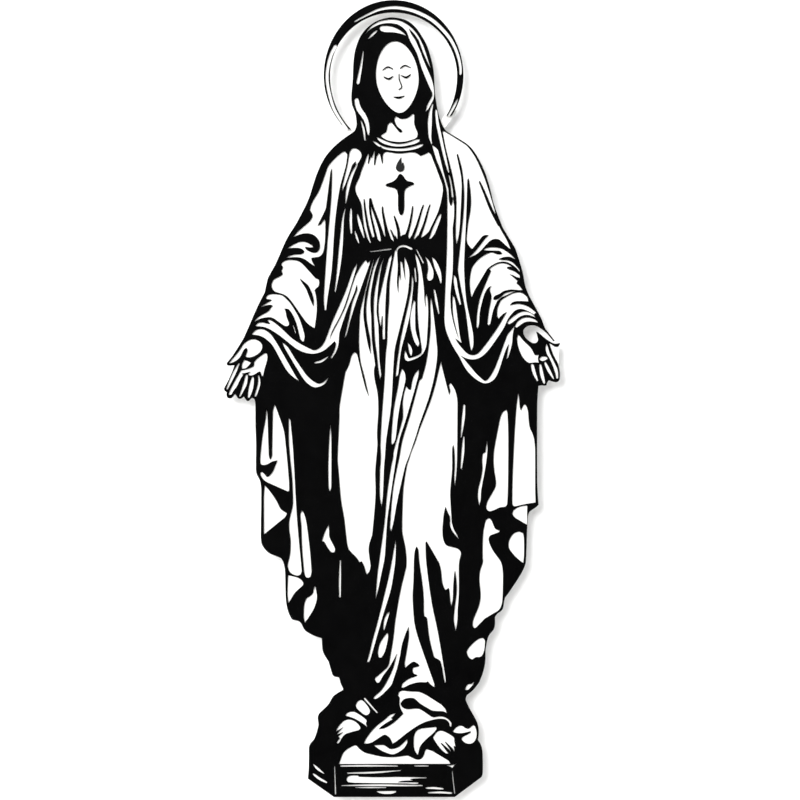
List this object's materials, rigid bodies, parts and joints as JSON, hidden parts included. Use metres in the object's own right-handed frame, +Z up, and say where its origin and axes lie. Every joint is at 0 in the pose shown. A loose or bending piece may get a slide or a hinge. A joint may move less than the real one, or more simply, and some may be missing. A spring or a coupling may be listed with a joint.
{
  "type": "madonna wall plaque",
  "caption": "Flat layered metal wall plaque of a standing madonna with open hands, a plinth and an open halo ring, hung by a hinged ring at the back.",
  "frame": {"origin": "middle of the foot bumper's rear face, on the wall plane", "axes": "+Z up along the figure, front facing -Y, wall at y = 0, +X to the viewer's right"},
  "size_m": [0.253, 0.0116, 0.6],
  "materials": {
    "black_coat": "satin powder coat",
    "white_enamel": "smooth satin enamel",
    "grey_coat": "satin powder coat",
    "zinc_plate": "bright zinc plate",
    "black_rubber": "matte"
  },
  "bodies": {
    "panel": {"figure_front_plate": "black_coat", "halo_front_ring": "black_coat", "cross_overlay": "black_coat", "sleeve_fold_inlay": "black_coat", "brow_left_inlay": "black_coat", "brow_right_inlay": "black_coat", "eyelid_left_inlay": "black_coat", "eyelid_right_inlay": "black_coat", "nose_inlay": "black_coat", "mouth_inlay": "black_coat", "figure_back_plate": "white_enamel", "halo_back_ring": "white_enamel", "halo_link_left": "white_enamel", "halo_link_right": "white_enamel", "flame_overlay": "grey_coat", "hanger_strap": "zinc_plate", "weld_stud_left_ring": "zinc_plate", "weld_stud_left_shoulder": "zinc_plate", "weld_stud_right_ring": "zinc_plate", "weld_stud_right_shoulder": "zinc_plate", "weld_stud_hanger_left": "zinc_plate", "weld_stud_hanger_right": "zinc_plate", "hex_nut_left_ring": "zinc_plate", "hex_nut_left_shoulder": "zinc_plate", "hex_nut_right_ring": "zinc_plate", "hex_nut_right_shoulder": "zinc_plate", "hex_nut_hanger_left": "zinc_plate", "hex_nut_hanger_right": "zinc_plate", "bumper_foot": "black_rubber", "bumper_cloak_left": "black_rubber", "bumper_cloak_right": "black_rubber", "bumper_chest": "black_rubber"},
    "ring": {"hanging_ring": "zinc_plate"}
  },
  "joints": [
    {"name": "ring_hinge", "type": "hinge", "parent": "panel", "child": "ring", "pos_m": [0, -0.0048, 0.458], "axis": [1, 0, 0], "range_deg": [0, 180]}
  ]
}
